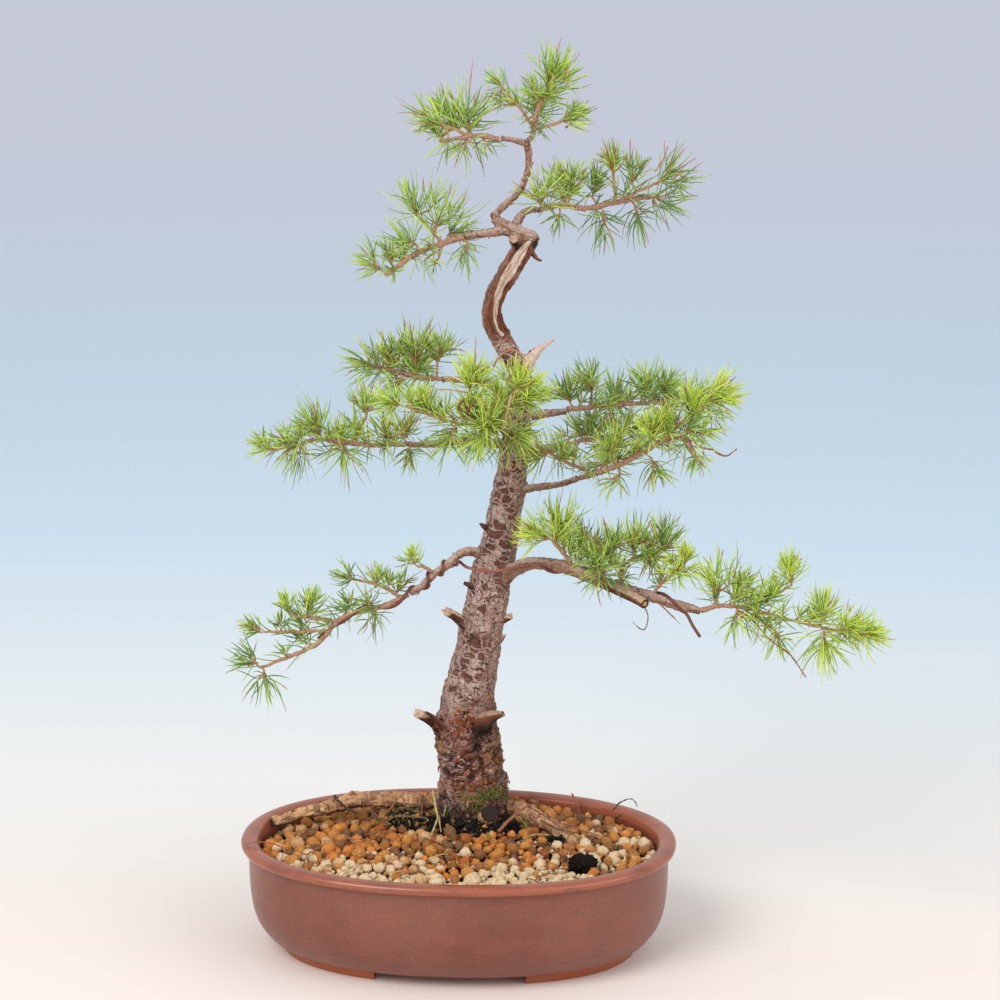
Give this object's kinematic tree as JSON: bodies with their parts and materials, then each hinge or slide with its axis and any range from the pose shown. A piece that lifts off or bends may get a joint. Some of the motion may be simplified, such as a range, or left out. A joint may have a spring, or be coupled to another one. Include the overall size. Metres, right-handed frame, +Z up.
{
  "type": "european larch bonsai",
  "caption": "Potted larch bonsai: tapering bent trunk with surface roots, tiers of wired branches with tufts of needles, in an oval footed clay pot of granular soil.",
  "frame": {"origin": "middle of the bottom of the whole object's box, on the surface the pot's feet stand on", "axes": "+Z up, +X to the right as the tree is shown from its front, along the pot's length; the front faces -Y"},
  "size_m": [0.3512, 0.1848, 0.4942],
  "materials": {
    "fired_clay": "unglazed reddish brown clay with a soft sheen",
    "screen_plastic": "dull black plastic mesh",
    "granules": "dry granules, ochre with cream pumice",
    "bark": "flaky bark over living wood, with strips of pale dead wood",
    "anodised_wire": "copper-brown anodised wire",
    "fresh_needles": "living needles on thin twigs, soft and slightly waxy",
    "bright_needles": "living needles on thin twigs, soft and slightly waxy",
    "green_needles": "living needles on thin twigs, soft and slightly waxy",
    "dark_needles": "living needles on thin twigs, soft and slightly waxy"
  },
  "bodies": {
    "root": {"pot": "fired_clay", "drain_screen_left": "screen_plastic", "drain_screen_right": "screen_plastic", "soil": "granules", "trunk": "bark", "training_wire": "anodised_wire", "crown_spray": "fresh_needles", "top_left_spray": "bright_needles", "upper_right_spray": "green_needles", "upper_left_spray": "green_needles", "mid_left_rear_spray": "dark_needles", "mid_left_spray": "green_needles", "front_spray": "fresh_needles", "mid_right_spray": "green_needles", "mid_right_inner_spray": "dark_needles", "mid_right_rear_spray": "dark_needles", "high_right_rear_spray": "green_needles", "lower_right_heel_spray": "fresh_needles", "lower_right_rear_spray": "dark_needles", "lower_right_face_spray": "dark_needles", "lower_right_ridge_spray": "dark_needles", "lower_right_bright_spray": "fresh_needles", "lower_right_tip_spray": "bright_needles", "lower_left_heel_spray": "fresh_needles", "lower_left_spray": "bright_needles"}
  },
  "joints": []
}
